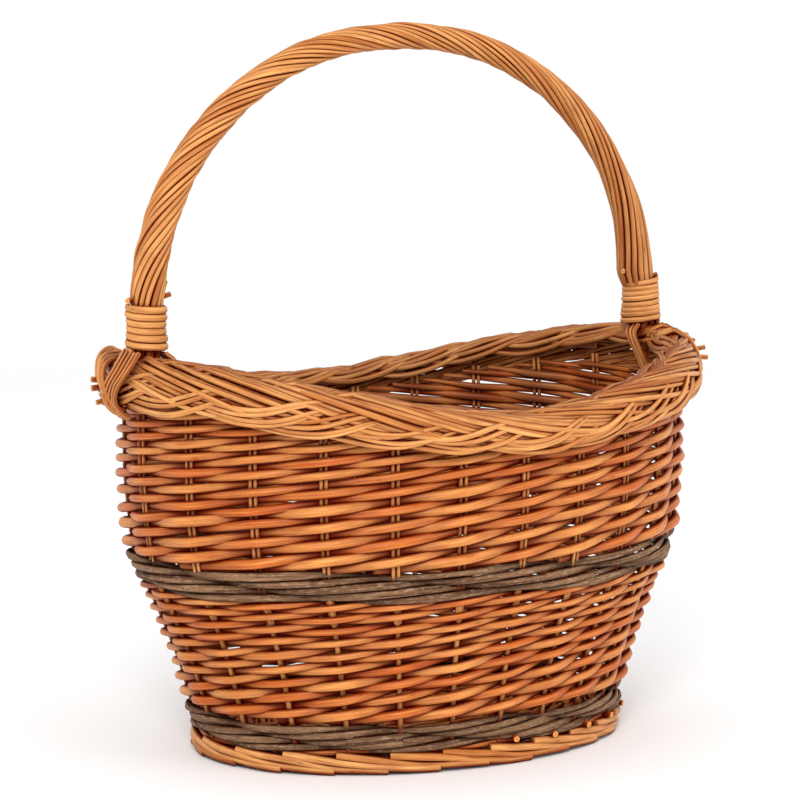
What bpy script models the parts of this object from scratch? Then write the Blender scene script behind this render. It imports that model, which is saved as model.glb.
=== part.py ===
"""A woven willow market basket with a rigid roped handle, as separate closed solids.

Metres, +Z up. X runs along the basket's length and holds the handle's plane; the origin is the
middle of the foot, on the ground. The basket is built from the ground up: a foot border, an oval
base on its sticks, upright stakes that run through every woven band, and a thick rim border.
The handle is a bow whose ends are driven down into the weave beside the end stakes. Rods are
roped around it, bound with a coil at each side and lashed over the rim. Nothing moves.
"""
import math

import bmesh
import bpy
from mathutils import Vector

# Driving dimensions
GAP = 0.0004                    # clearance between neighbouring solids
STAKES = 24
STAKE_RADIUS = 0.0022           # a stake with its bye-stake
FIRST_STAKE_SHIFT = 0.20        # in stake spacings, counted from the +X end
WALL = 0.013                    # weaving rod, stake and weaving rod
SPACING_LENGTH = 0.185          # half length and half width of the oval that spaces the stakes
SPACING_WIDTH = 0.132

# (height, half length, half width) of the wall's outer face
WALL_STATIONS = (
    (0.000, 0.1425, 0.1090),
    (0.012, 0.1460, 0.1115),
    (0.027, 0.1492, 0.1135),
    (0.046, 0.1540, 0.1165),
    (0.085, 0.1681, 0.1265),
    (0.115, 0.1812, 0.1365),
    (0.150, 0.1882, 0.1425),
    (0.195, 0.1893, 0.1440),
    (0.262, 0.1893, 0.1450),
)

# Heights of the bands at the middle of the long sides
FOOT_TOP = 0.0105
STAKE_BOTTOM = 0.0030
BASE_EDGE_TOP = 0.0140
BASE_TOP = 0.0184
BOTTOM_WALE_TOP = 0.0300
LOWER_SIDING_TOP = 0.1095
MIDDLE_WALE_TOP = 0.1270
UPPER_SIDING_TOP = 0.1950
RIM_TOP = 0.2235
RIM_LOW_RISE = 0.0260           # how far the rim's lower edge climbs towards the handle
RIM_TOP_RISE = 0.0325           # the same for its top edge
SADDLE_SOFTNESS = 0.3           # how rounded the saddle is at its lowest point

# Rim border
RIM_BULGE = 0.0165              # its widest outer and inner offsets from the stakes' centre line
RIM_INNER_BULGE = 0.0115
RIM_STAKE_FRACTION = 0.6        # how far up the border the stakes reach
RIM_END_THICKENING = 0.0045     # the border is thicker inside, where the bow passes through it
RIM_END_WIDTH = 0.25

# Base
BASE_EDGE_OFFSET = 0.0036       # base's edge outside the stakes' centre line
STICK_WIDTH = 0.006
STICK_HEIGHT = 0.0034
CROSS_STICKS = 5
CROSS_STICK_SPACING = 0.042
LONG_STICKS = 3
LONG_STICK_SPACING = 0.032
STICK_MARGIN = 0.012            # from a stick's end to the base's upstand

# Handle
ARCH_HALF_SPAN = 0.1798
ARCH_BASE = 0.2685              # height at which the arch begins
ARCH_RISE = 0.1750
ARCH_FULLNESS = 2.10            # 2 is an ellipse, more is fuller at the shoulders
ARCH_STEPS = 48
LEG_BOTTOM = 0.1600
LEG_TIP_RADIUS = 0.0022
LEG_RIM_RADIUS = 0.0030
LEG_TOP_RADIUS = 0.0038
BOW_STATIONS = ((0.262, 0.0044), (0.291, 0.0045), (0.300, 0.0055), (0.318, 0.0055), (0.400, 0.0046),
                (0.444, 0.0042))
BOW_SIDES = 12
ROPE_BUNCHES = 4
ROPE_RODS = 4                   # rods in one bunch
ROPE_STATIONS = ((0.262, 0.0034), (0.291, 0.0035), (0.300, 0.0045), (0.318, 0.0045), (0.400, 0.0037),
                 (0.444, 0.0034))
ROPE_TURNS = 3.25
ROPE_ABOVE_RIM = 0.0012
BINDING_ABOVE_RIM = 0.0016
LEFT_BINDING = (6, 0.0042)      # turns and rod height
RIGHT_BINDING = (8, 0.0033)
BINDING_THICKNESS = 0.0034
COIL_STEPS = 14                 # straight steps in one turn
LASHING_THICKNESS = 0.0034
LASHING_SHIFT = 0.010           # how far each lashing sits to one side of the handle's plane

# Finishes: base colour and roughness
PEELED = ((0.66, 0.33, 0.11), 0.45)
BUFF = ((0.55, 0.22, 0.07), 0.50)
BARK = ((0.20, 0.14, 0.09), 0.75)
STICK = ((0.50, 0.24, 0.10), 0.60)


def clear_scene():
    for item in list(bpy.data.objects):
        bpy.data.objects.remove(item, do_unlink=True)


def make_material(name, finish):
    colour, roughness = finish
    material = bpy.data.materials.new(name)
    material.use_nodes = True
    shader = material.node_tree.nodes["Principled BSDF"]
    shader.inputs["Base Color"].default_value = (*colour, 1.0)
    shader.inputs["Roughness"].default_value = roughness
    shader.inputs["Metallic"].default_value = 0.0
    return material


def make_object(name, mesh_builder, finish, smooth=True):
    """Turn a bmesh into a named object with outward faces and its own material."""
    bmesh.ops.recalc_face_normals(mesh_builder, faces=mesh_builder.faces)
    mesh = bpy.data.meshes.new(name)
    mesh_builder.to_mesh(mesh)
    mesh_builder.free()
    mesh.materials.append(make_material(name, finish))
    if smooth:
        mesh.shade_smooth()
        mesh.set_sharp_from_angle(angle=math.radians(50))
    item = bpy.data.objects.new(name, mesh)
    bpy.context.collection.objects.link(item)
    return item


# ---- The oval wall -------------------------------------------------------------------------

def smooth_step_between(points, value):
    """Catmull-Rom reading of a table of (position, number, number)."""
    last = len(points) - 1
    index = 0
    while index < last - 1 and value > points[index + 1][0]:
        index += 1
    before, start, end, after = (points[max(0, index - 1)], points[index], points[index + 1],
                                 points[min(last, index + 2)])
    span = end[0] - start[0]
    share = (value - start[0]) / span
    numbers = []
    for column in (1, 2):
        slope_in = (end[column] - before[column]) / (end[0] - before[0]) * span
        slope_out = (after[column] - start[column]) / (after[0] - start[0]) * span
        numbers.append((2 * share**3 - 3 * share**2 + 1) * start[column]
                       + (share**3 - 2 * share**2 + share) * slope_in
                       + (3 * share**2 - 2 * share**3) * end[column]
                       + (share**3 - share**2) * slope_out)
    return numbers


def on_oval(angle, height, offset):
    """A point of the oval at a height, moved out from the stakes' centre line by the offset."""
    half_length, half_width = smooth_step_between(WALL_STATIONS, height)
    reach = offset - WALL / 2
    return Vector(((half_length + reach) * math.cos(angle), (half_width + reach) * math.sin(angle), height))


def saddle(angle, middle, rise):
    """Height of an edge that is lowest at the long sides' middles and climbs to the ends."""
    ratio = abs(math.cos(angle))
    soft = SADDLE_SOFTNESS
    share = (math.hypot(ratio, soft) - soft) / (math.hypot(1.0, soft) - soft)
    return middle + rise * share


def rim_low(angle):
    return saddle(angle, UPPER_SIDING_TOP, RIM_LOW_RISE)


def rim_top(angle):
    return saddle(angle, RIM_TOP, RIM_TOP_RISE)


def level(height):
    """An edge at one height all round."""
    return lambda angle: height


def equal_spacing(count, shift):
    """Oval angles of points with equal distances along the rim, starting near the +X end."""
    steps = 3600
    lengths = [0.0]
    for step in range(steps):
        angle = 2 * math.pi * (step + 0.5) / steps
        lengths.append(lengths[-1] + math.hypot(SPACING_LENGTH * math.sin(angle), SPACING_WIDTH * math.cos(angle)))
    angles = []
    for number in range(count):
        target = (number + shift) / count * lengths[-1]
        index = next(i for i, length in enumerate(lengths) if length >= target)
        angles.append(2 * math.pi * index / steps)
    return angles


STAKE_ANGLES = equal_spacing(STAKES, FIRST_STAKE_SHIFT)


def stake_knots(angle):
    """The heights at which a stake bends, from its butt to its end inside the rim border."""
    low, top = rim_low(angle), rim_top(angle)
    siding_step = (LOWER_SIDING_TOP - BOTTOM_WALE_TOP) / 3
    return [STAKE_BOTTOM, BOTTOM_WALE_TOP + GAP, BOTTOM_WALE_TOP + siding_step,
            BOTTOM_WALE_TOP + 2 * siding_step, LOWER_SIDING_TOP, MIDDLE_WALE_TOP + GAP,
            (MIDDLE_WALE_TOP + low) / 2, low, low + (top - low) * RIM_STAKE_FRACTION]


def stake_centre(angle, height):
    """The stake's centre line, straight between its knots."""
    knots = stake_knots(angle)
    index = 0
    while index < len(knots) - 2 and height > knots[index + 1]:
        index += 1
    start, end = knots[index], knots[index + 1]
    return on_oval(angle, start, 0.0).lerp(on_oval(angle, end, 0.0), (height - start) / (end - start))


def leg_knots():
    """(distance from the basket's middle, height, radius) of the bow's leg, upwards."""
    low, top = rim_low(0.0), rim_top(0.0)
    return [(on_oval(0.0, LEG_BOTTOM, 0.0).x, LEG_BOTTOM, LEG_TIP_RADIUS),
            (on_oval(0.0, low, 0.0).x, low, LEG_RIM_RADIUS),
            (ARCH_HALF_SPAN, top, LEG_TOP_RADIUS)]


# ---- Bands with tunnels --------------------------------------------------------------------

TUNNEL_CORNERS = [math.radians(angle) for angle in (90, 30, -30, -90, -150, 150)]


def section(mesh_builder, centre, outward, radius):
    """A horizontal hexagon around a centre, its first corner pointing outward."""
    across = Vector((outward.y, -outward.x, 0.0))
    return [mesh_builder.verts.new(centre + outward * (radius * math.sin(a)) + across * (radius * math.cos(a)))
            for a in TUNNEL_CORNERS]


def outward_at(angle):
    half_length, half_width = SPACING_LENGTH, SPACING_WIDTH
    return Vector((half_width * math.cos(angle), half_length * math.sin(angle), 0.0)).normalized()


def band_cells(with_legs):
    """(angle, side) of every tunnel round a band: side is None for a stake, +1 or -1 for a leg."""
    cells = [(angle, None) for angle in STAKE_ANGLES]
    if with_legs:
        cells += [(0.0, 1), (math.pi, -1)]
    return sorted(cells, key=lambda cell: cell[0])


def cell_columns(cells):
    """Angles of a band's columns: each cell's own angle, and the border to the next cell."""
    columns = []
    for index, (angle, _) in enumerate(cells):
        following = cells[(index + 1) % len(cells)][0]
        if following < angle:
            following += 2 * math.pi
        columns += [angle, (angle + following) / 2]
    return columns


def tunnel_sections(mesh_builder, angle, side, low, top):
    """The hexagons of one tunnel between two heights, upwards, and whether its ends are open."""
    outward = outward_at(angle)
    if side is None:
        knots = stake_knots(angle)
        bottom_open, top_open = low > knots[0], top < knots[-1]
        start = low if bottom_open else knots[0] - GAP
        end = top if top_open else knots[-1] + GAP
        heights = [start] + [knot for knot in knots if start + GAP < knot < end - GAP] + [end]
        rings = [section(mesh_builder, stake_centre(angle, height), outward, STAKE_RADIUS + GAP)
                 for height in heights]
        return rings, bottom_open, top_open
    rings = []
    knots = leg_knots()
    bottom_open, top_open = low > knots[0][1], True
    start = low if bottom_open else knots[0][1] - GAP
    for height in (start, top):
        index = 1 if height > knots[1][1] + GAP / 2 else 0
        (x0, z0, r0), (x1, z1, r1) = knots[index], knots[index + 1]
        share = (height - z0) / (z1 - z0)
        centre = Vector((side * (x0 + (x1 - x0) * share), 0.0, height))
        clear_radius = (r0 + (r1 - r0) * share + GAP) / math.cos(math.pi / 6)
        rings.append(section(mesh_builder, centre, outward, clear_radius))
    return rings, bottom_open, top_open


def close_band_end(mesh_builder, outer, inner, index, ring, is_open):
    """Close one cell's share of a band's end, around its tunnel where the tunnel is open."""
    count = len(outer)
    left, middle, right = (index - 1) % count, index, (index + 1) % count
    if not is_open:
        mesh_builder.faces.new((outer[left], outer[middle], inner[middle], inner[left]))
        mesh_builder.faces.new((outer[middle], outer[right], inner[right], inner[middle]))
        return
    out, out_left, in_left, inward, in_right, out_right = ring
    mesh_builder.faces.new((outer[left], outer[middle], out, out_left))
    mesh_builder.faces.new((outer[middle], outer[right], out_right, out))
    mesh_builder.faces.new((outer[right], inner[right], in_right, out_right))
    mesh_builder.faces.new((inner[right], inner[middle], inward, in_right))
    mesh_builder.faces.new((inner[middle], inner[left], in_left, inward))
    mesh_builder.faces.new((inner[left], outer[left], out_left, in_left))


def band(name, finish, low_edge, top_edge, outer_profile, inner_profile, with_legs=False, disc_top=None):
    """A closed woven band with a tunnel for each stake, or a disc if disc_top is given.

    low_edge and top_edge give a height for an angle. A profile is a list of (share of the height,
    offset from the stakes' centre line), where an offset may be a function of the angle.
    """
    mesh_builder = bmesh.new()
    cells = band_cells(with_legs)
    columns = cell_columns(cells)

    def loop(share, offset):
        verts = []
        for angle in columns:
            low, top = low_edge(angle), top_edge(angle)
            distance = offset(angle) if callable(offset) else offset
            verts.append(mesh_builder.verts.new(on_oval(angle, low + (top - low) * share, distance)))
        return verts

    def skin(profile):
        loops = [loop(share, offset) for share, offset in profile]
        for lower, upper in zip(loops, loops[1:]):
            for column in range(len(columns)):
                after = (column + 1) % len(columns)
                mesh_builder.faces.new((lower[column], lower[after], upper[after], upper[column]))
        return loops[0], loops[-1]

    outer_low, outer_top = skin(outer_profile)
    if disc_top is None:
        inner_low, inner_top = skin(inner_profile)
    else:
        share, offset = inner_profile[0]
        inner_low, inner_top = loop(0.0, offset), loop(1.0, offset)
        upstand = [mesh_builder.verts.new(Vector((vert.co.x, vert.co.y, disc_top))) for vert in inner_top]
        for column in range(len(columns)):
            after = (column + 1) % len(columns)
            mesh_builder.faces.new((inner_top[column], inner_top[after], upstand[after], upstand[column]))
        mesh_builder.faces.new(upstand)
        mesh_builder.faces.new(list(reversed(inner_low)))

    for number, (angle, side) in enumerate(cells):
        low, top = low_edge(angle), top_edge(angle)
        rings, bottom_open, top_open = tunnel_sections(mesh_builder, angle, side, low, top)
        for lower, upper in zip(rings, rings[1:]):
            for corner in range(6):
                after = (corner + 1) % 6
                mesh_builder.faces.new((lower[corner], lower[after], upper[after], upper[corner]))
        for ring, is_open in ((rings[0], bottom_open), (rings[-1], top_open)):
            if not is_open:
                mesh_builder.faces.new(ring)
        close_band_end(mesh_builder, outer_low, inner_low, 2 * number, rings[0], bottom_open)
        close_band_end(mesh_builder, outer_top, inner_top, 2 * number, rings[-1], top_open)
    return make_object(name, mesh_builder, finish)


def swept_tube(name, finish, rings):
    """A closed tube through rings of points, each ring with the same count, cut flat at the ends."""
    mesh_builder = bmesh.new()
    loops = [[mesh_builder.verts.new(point) for point in ring] for ring in rings]
    count = len(loops[0])
    for lower, upper in zip(loops, loops[1:]):
        for corner in range(count):
            after = (corner + 1) % count
            quad = (lower[corner], lower[after], upper[after], upper[corner])
            rising = (quad[0].co - quad[2].co).length
            falling = (quad[1].co - quad[3].co).length
            if rising <= falling:
                mesh_builder.faces.new((quad[0], quad[1], quad[2]))
                mesh_builder.faces.new((quad[0], quad[2], quad[3]))
            else:
                mesh_builder.faces.new((quad[0], quad[1], quad[3]))
                mesh_builder.faces.new((quad[1], quad[2], quad[3]))
    mesh_builder.faces.new(loops[0])
    mesh_builder.faces.new(list(reversed(loops[-1])))
    return make_object(name, mesh_builder, finish)


# ---- Stakes and bands ----------------------------------------------------------------------

def build_stakes():
    for number, angle in enumerate(STAKE_ANGLES, start=1):
        mesh_builder = bmesh.new()
        outward = outward_at(angle)
        rings = [section(mesh_builder, stake_centre(angle, height), outward, STAKE_RADIUS)
                 for height in stake_knots(angle)]
        for lower, upper in zip(rings, rings[1:]):
            for corner in range(6):
                after = (corner + 1) % 6
                mesh_builder.faces.new((lower[corner], lower[after], upper[after], upper[corner]))
        mesh_builder.faces.new(rings[0])
        mesh_builder.faces.new(list(reversed(rings[-1])))
        make_object(f"stake_{number:02d}", mesh_builder, BUFF)


def build_wall():
    half = WALL / 2
    siding_shares = (0.0, 1 / 3, 2 / 3, 1.0)
    band("foot_border", PEELED, level(0.0), level(FOOT_TOP),
         [(0.0, half - 0.001), (0.35, half + 0.0015), (0.8, half + 0.0012), (1.0, half - 0.001)],
         [(0.0, -half + 0.001), (0.5, -half - 0.0005), (1.0, -half + 0.001)])
    band("bottom_wale", BARK, level(BASE_EDGE_TOP + GAP), level(BOTTOM_WALE_TOP),
         [(0.0, half), (0.25, half + 0.0025), (0.75, half + 0.0025), (1.0, half)],
         [(0.0, -half), (1.0, -half)])
    band("lower_siding", BUFF, level(BOTTOM_WALE_TOP + GAP), level(LOWER_SIDING_TOP),
         [(share, half) for share in siding_shares],
         [(share, -half) for share in siding_shares])
    band("middle_wale", BARK, level(LOWER_SIDING_TOP + GAP), level(MIDDLE_WALE_TOP),
         [(0.0, half), (0.25, half + 0.0025), (0.75, half + 0.0025), (1.0, half)],
         [(0.0, -half), (0.5, -half - 0.001), (1.0, -half)])
    band("upper_siding", BUFF, level(MIDDLE_WALE_TOP + GAP), lambda angle: rim_low(angle) - GAP,
         [(share, half) for share in siding_shares],
         [(share, -half) for share in siding_shares], with_legs=True)


def build_rim():
    def thick_end(offset):
        def at(angle):
            share = math.exp(-(math.sin(angle) / RIM_END_WIDTH) ** 2)
            return offset - RIM_END_THICKENING * share
        return at
    band("rim_border", PEELED, rim_low, rim_top,
         [(0.0, 0.0090), (0.22, RIM_BULGE), (0.65, 0.0145), (0.88, 0.0105), (1.0, 0.0050)],
         [(0.0, thick_end(-0.0085)), (0.4, thick_end(-RIM_INNER_BULGE)), (0.8, thick_end(-0.0100)),
          (1.0, thick_end(-0.0060))], with_legs=True)


# ---- Base ----------------------------------------------------------------------------------

def stick(name, centre, length, along_x, grow=0.0):
    """A flat base stick, or its cutter when it is grown by the clearance."""
    mesh_builder = bmesh.new()
    size = (length, STICK_WIDTH) if along_x else (STICK_WIDTH, length)
    bmesh.ops.create_cube(mesh_builder, size=1.0)
    bmesh.ops.scale(mesh_builder, verts=mesh_builder.verts,
                    vec=(size[0] + 2 * grow, size[1] + 2 * grow, STICK_HEIGHT + 2 * grow))
    bmesh.ops.translate(mesh_builder, verts=mesh_builder.verts, vec=centre)
    return make_object(name, mesh_builder, STICK, smooth=False)


def stick_length(offset, half_along, half_across):
    """The length of a chord of the base at a distance from its middle."""
    return 2 * (half_along * math.sqrt(1 - (offset / half_across) ** 2) - STICK_MARGIN)


def build_base():
    base_low = FOOT_TOP + GAP
    upstand = -WALL / 2 - 0.0012
    base = band("base_weave", BUFF, level(base_low), level(BASE_EDGE_TOP),
                [(0.0, BASE_EDGE_OFFSET), (1.0, BASE_EDGE_OFFSET)],
                [(0.0, upstand)], disc_top=BASE_TOP)
    half_length = on_oval(0.0, base_low, upstand).x
    half_width = on_oval(math.pi / 2, base_low, upstand).y
    rows = []
    for number in range(CROSS_STICKS):
        x = (number - (CROSS_STICKS - 1) / 2) * CROSS_STICK_SPACING
        centre = (x, 0.0, base_low + STICK_HEIGHT / 2)
        rows.append((f"base_cross_stick_{number + 1}", centre, stick_length(x, half_width, half_length), False))
    for number in range(LONG_STICKS):
        y = (number - (LONG_STICKS - 1) / 2) * LONG_STICK_SPACING
        centre = (0.0, y, BASE_TOP - STICK_HEIGHT / 2)
        rows.append((f"base_long_stick_{number + 1}", centre, stick_length(y, half_length, half_width), True))
    for name, centre, length, along_x in rows:
        stick(name, centre, length, along_x)
        cutter = stick("cut_" + name, centre, length, along_x, grow=GAP)
        cutter.hide_render = True
        cutter.display_type = "WIRE"
        cut = base.modifiers.new("channel for " + name, "BOOLEAN")
        cut.operation = "DIFFERENCE"
        cut.object = cutter


# ---- Handle --------------------------------------------------------------------------------

def read_between(stations, height):
    """Straight reading of a table of (height, number), held at its ends."""
    for (low, first), (high, second) in zip(stations, stations[1:]):
        if height <= high:
            share = max(0.0, (height - low) / (high - low))
            return first + (second - first) * share
    return stations[-1][1]


def arch_point(angle):
    """A point of the arch's centre line: angle 0 is its +X foot and pi its -X foot."""
    power = 2 / ARCH_FULLNESS
    across = math.copysign(abs(math.cos(angle)) ** power, math.cos(angle))
    return Vector((ARCH_HALF_SPAN * across, 0.0, ARCH_BASE + ARCH_RISE * abs(math.sin(angle)) ** power))


def handle_stations():
    """(centre, outward normal) along the roped part of the handle, from -X over the top to +X."""
    bottom = rim_top(0.0) + ROPE_ABOVE_RIM
    straight = [bottom, (bottom + ARCH_BASE) / 2]
    stations = [(Vector((-ARCH_HALF_SPAN, 0.0, height)), Vector((-1.0, 0.0, 0.0))) for height in straight]
    arch = [arch_point(math.pi * (1 - step / ARCH_STEPS)) for step in range(ARCH_STEPS + 1)]
    for index, centre in enumerate(arch):
        if index in (0, ARCH_STEPS):
            outward = Vector((math.copysign(1.0, centre.x), 0.0, 0.0))
        else:
            along = arch[index + 1] - arch[index - 1]
            outward = Vector((-along.z, 0.0, along.x)).normalized()
        stations.append((centre, outward))
    stations += [(Vector((ARCH_HALF_SPAN, 0.0, height)), Vector((1.0, 0.0, 0.0))) for height in reversed(straight)]
    return stations


FRONT = Vector((0.0, -1.0, 0.0))


def around(centre, outward, radius, angle):
    """A point of a section across the handle, turned from its outward side to the front."""
    return centre + outward * (radius * math.cos(angle)) + FRONT * (radius * math.sin(angle))


def build_bow():
    def ring(centre, outward, radius):
        return [around(centre, outward, radius, 2 * math.pi * corner / BOW_SIDES) for corner in range(BOW_SIDES)]
    left = [ring(Vector((-x, 0.0, z)), Vector((-1.0, 0.0, 0.0)), radius) for x, z, radius in leg_knots()]
    right = [ring(Vector((x, 0.0, z)), Vector((1.0, 0.0, 0.0)), radius) for x, z, radius in leg_knots()]
    arch = [ring(centre, outward, read_between(BOW_STATIONS, centre.z)) for centre, outward in handle_stations()]
    swept_tube("handle_bow", STICK, left + arch + list(reversed(right)))


def build_roping():
    stations = handle_stations()
    inner_points = 4
    outer_points = 2 * ROPE_RODS + 1
    for bunch in range(ROPE_BUNCHES):
        rings = []
        for index, (centre, outward) in enumerate(stations):
            inside = read_between(BOW_STATIONS, centre.z) + GAP
            turned = 2 * math.pi * (ROPE_TURNS * index / (len(stations) - 1) + bunch / ROPE_BUNCHES)
            spread = 2 * math.pi / ROPE_BUNCHES - 1.2 * GAP / inside
            step = spread / (inner_points - 1)
            inside = (inside + GAP / 2) / math.cos(step / 2)
            outside = inside + read_between(ROPE_STATIONS, centre.z)
            ring = [around(centre, outward, inside, turned + step * point) for point in range(inner_points)]
            for point in range(outer_points):
                ridge = 0.0 if point % 2 else 0.0009
                angle = turned + spread * (1 - point / (outer_points - 1))
                ring.append(around(centre, outward, outside - ridge, angle))
            rings.append(ring)
        swept_tube(f"handle_rope_bunch_{bunch + 1}", PEELED, rings)


def build_binding(name, side, turns, height):
    """A coil of one flattened rod wound round the roping, just above the rim."""
    sides = 6
    bound_top = ROPE_STATIONS[1][0]
    rope_outside = ((read_between(BOW_STATIONS, bound_top) + 2 * GAP) * 1.04
                    + read_between(ROPE_STATIONS, bound_top))
    half_thickness = BINDING_THICKNESS / 2
    coil_radius = (rope_outside + half_thickness + 1.5 * GAP) / math.cos(math.pi / COIL_STEPS)
    bottom = rim_top(0.0) + BINDING_ABOVE_RIM + height / 2
    rings = []
    for step in range(turns * COIL_STEPS + 1):
        angle = 2 * math.pi * step / COIL_STEPS
        outward = Vector((side * math.cos(angle), math.sin(angle), 0.0))
        climb = (height + GAP) * step / COIL_STEPS
        centre = Vector((side * ARCH_HALF_SPAN, 0.0, bottom + climb)) + outward * coil_radius
        rings.append([centre + outward * (half_thickness * math.cos(2 * math.pi * corner / sides))
                      + Vector((0.0, 0.0, height / 2 * math.sin(2 * math.pi * corner / sides)))
                      for corner in range(sides)])
    swept_tube(name, PEELED, rings)


def build_lashing(name, side, route, middle, rods):
    """A flat bunch of rods that follows a route of (distance from the middle, height)."""
    half = LASHING_THICKNESS / 2
    width = rods * LASHING_THICKNESS
    rings = []
    for index, (x, z) in enumerate(route):
        before = Vector(route[max(0, index - 1)])
        after = Vector(route[min(len(route) - 1, index + 1)])
        along = (after - before).normalized()
        normal = Vector((-along.y, along.x)) * half
        ring = []
        for point in range(2 * rods + 1):
            lift = 0.75 if point % 2 == 0 else 1.0
            y = middle + width * (point / (2 * rods) - 0.5)
            ring.append(Vector((side * (x + normal.x * lift), y, z + normal.y * lift)))
        ring.append(Vector((side * (x - normal.x), middle + width / 2, z - normal.y)))
        ring.append(Vector((side * (x - normal.x), middle - width / 2, z - normal.y)))
        rings.append(ring)
    swept_tube(name, PEELED, rings)


def build_lashings():
    half = LASHING_THICKNESS / 2
    rim_end = rim_top(0.0)
    low_end = rim_low(0.0)
    outer_face = on_oval(0.0, low_end, RIM_BULGE).x + half + 2 * GAP
    inner_face = on_oval(0.0, low_end, -RIM_INNER_BULGE - RIM_END_THICKENING).x - half - 2 * GAP
    beside_binding = 0.0156
    outer_route = [(ARCH_HALF_SPAN + beside_binding, rim_end + 0.0065),
                   (outer_face - 0.0048, rim_end + 0.0010), (outer_face - 0.0018, rim_end - 0.0060),
                   (outer_face - 0.0002, rim_end - 0.0130), (outer_face + 0.0002, low_end + 0.0090),
                   (outer_face - 0.0010, low_end + 0.0015), (outer_face - 0.0042, low_end - 0.0030),
                   (outer_face - 0.0082, low_end - 0.0038)]
    inner_route = [(ARCH_HALF_SPAN - beside_binding, rim_end + 0.0065), (inner_face + 0.0006, rim_end - 0.0030),
                   (inner_face, rim_end - 0.0120), (inner_face, low_end + 0.0060),
                   (inner_face + 0.0022, low_end - 0.0026), (inner_face + 0.0065, low_end - 0.0042)]
    for word, side in (("left", -1), ("right", 1)):
        build_lashing(f"lashing_{word}_outer", side, outer_route, side * LASHING_SHIFT, 4)
        build_lashing(f"lashing_{word}_inner", side, inner_route, -side * LASHING_SHIFT / 2, 3)


def build_handle():
    build_bow()
    build_roping()
    build_binding("handle_binding_left", -1, *LEFT_BINDING)
    build_binding("handle_binding_right", 1, *RIGHT_BINDING)
    build_lashings()


clear_scene()
build_base()
build_stakes()
build_wall()
build_rim()
build_handle()
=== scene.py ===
"""Looks of the woven market basket: every willow rod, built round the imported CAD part.

The stakes' lines, the band heights, the rim's edges and the handle's arch are read from the CAD
part. Everything else is worked out from them and from the named sizes below. Metres, +Z up, the
basket's length along X. "u" counts stakes round the basket, so u = 4.5 is half way between
stakes 4 and 5, and it grows to the right as seen from outside.
"""
import math

import bpy
import numpy as np
from mathutils import Matrix, Vector


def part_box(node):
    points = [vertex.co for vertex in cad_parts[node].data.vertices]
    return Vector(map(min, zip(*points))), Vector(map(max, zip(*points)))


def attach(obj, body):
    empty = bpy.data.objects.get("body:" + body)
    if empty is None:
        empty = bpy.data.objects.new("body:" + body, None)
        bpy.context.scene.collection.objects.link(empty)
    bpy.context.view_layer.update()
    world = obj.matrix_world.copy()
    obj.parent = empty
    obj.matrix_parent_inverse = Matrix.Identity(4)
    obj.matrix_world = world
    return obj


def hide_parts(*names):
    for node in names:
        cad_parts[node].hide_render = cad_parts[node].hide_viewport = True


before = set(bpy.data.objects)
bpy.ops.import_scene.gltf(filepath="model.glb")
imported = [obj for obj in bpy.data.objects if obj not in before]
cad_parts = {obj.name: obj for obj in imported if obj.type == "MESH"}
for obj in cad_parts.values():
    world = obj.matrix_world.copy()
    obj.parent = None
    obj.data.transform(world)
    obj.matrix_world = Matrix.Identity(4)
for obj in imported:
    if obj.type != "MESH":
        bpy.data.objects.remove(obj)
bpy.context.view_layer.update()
RANDOM = np.random.default_rng(20)

# Sizes of the rods
STAKES = sum(name.startswith("stake_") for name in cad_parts)
STAKE_SHIFT = -0.13  # the stakes stand a little to the left of the CAD's
STAKE_PAIR_RADIUS = 0.00125
STAKE_SINGLE_RADIUS = 0.0018
UPPER_BUTT, UPPER_TIP = 0.0057, 0.0038  # diameters in the upper siding
LOWER_BUTT, LOWER_TIP = 0.0052, 0.0034
UPPER_LAYERS = 21
LOWER_LAYERS = 19
END_SWELL = 0.011  # how much further out the upper wall stands at the ends
FATTER = 1.10  # siding rods are squeezed together, so they show thicker
WALE_ROUNDS = 5
WALE_RISE = 1.9  # rounds that a wale rod climbs over its visible stroke
MIDDLE_WALE_RADIUS = 0.0018
BOTTOM_WALE_RADIUS = 0.0017
FOOT_ROD_RADIUS = 0.0026
RIM_RODS = 4  # rods in one bundle of the border
RIM_ROD_RADIUS = 0.00175
ROPE_RODS = 15
ROPE_TURNS = 3.3
LEG_RODS = 6  # thick rods under each binding
LEG_RADIUS = 0.0023
LASHING_RADIUS = 0.00135
BINDING_DROP = 0.0038  # the bindings sit a little lower than the CAD's
TUBE_SIDES = 8
PER_STAKE = 9  # points along a rod between two stakes
STAKE_GAP = 0.041  # from stake to stake along the upper wall
RIM_STAKE_GAP = 0.042  # the same in the border

# How far rods stray from a perfect line
STRAY_UPRIGHT = 0.0002
STRAY_SIDING, STRAY_SIDING_HEIGHT = 0.00015, 0.00025
STRAY_WALE, STRAY_WALE_HEIGHT = 0.0004, 0.0005
STRAY_BORDER = 0.0003


# ---- Reading the CAD part ----

def cad_points(node):
    """The distinct vertices of a CAD node."""
    points = np.array([vertex.co[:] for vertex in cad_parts[node].data.vertices])
    return np.unique(np.round(points, 6), axis=0)


def reading(table, place):
    """A table of (place, value) rows, read at any place."""
    return np.interp(place, table[:, 0], table[:, 1])


def stake_line(node):
    """(heights, centres) of a stake's rings, upwards."""
    points = cad_points(node)
    heights = np.unique(np.round(points[:, 2], 4))
    centres = [points[np.abs(points[:, 2] - height) < 0.00011][:, :2].mean(axis=0) for height in heights]
    return heights, np.array(centres)


LEVEL_STEP = 0.002
LEVELS = np.arange(0.0, 0.272, LEVEL_STEP)


def softened(values, reach):
    """A row of numbers with its corners rounded."""
    width = 2 * reach + 1
    return np.convolve(np.pad(values, reach, mode="edge"), np.ones(width) / width, mode="valid")


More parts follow.
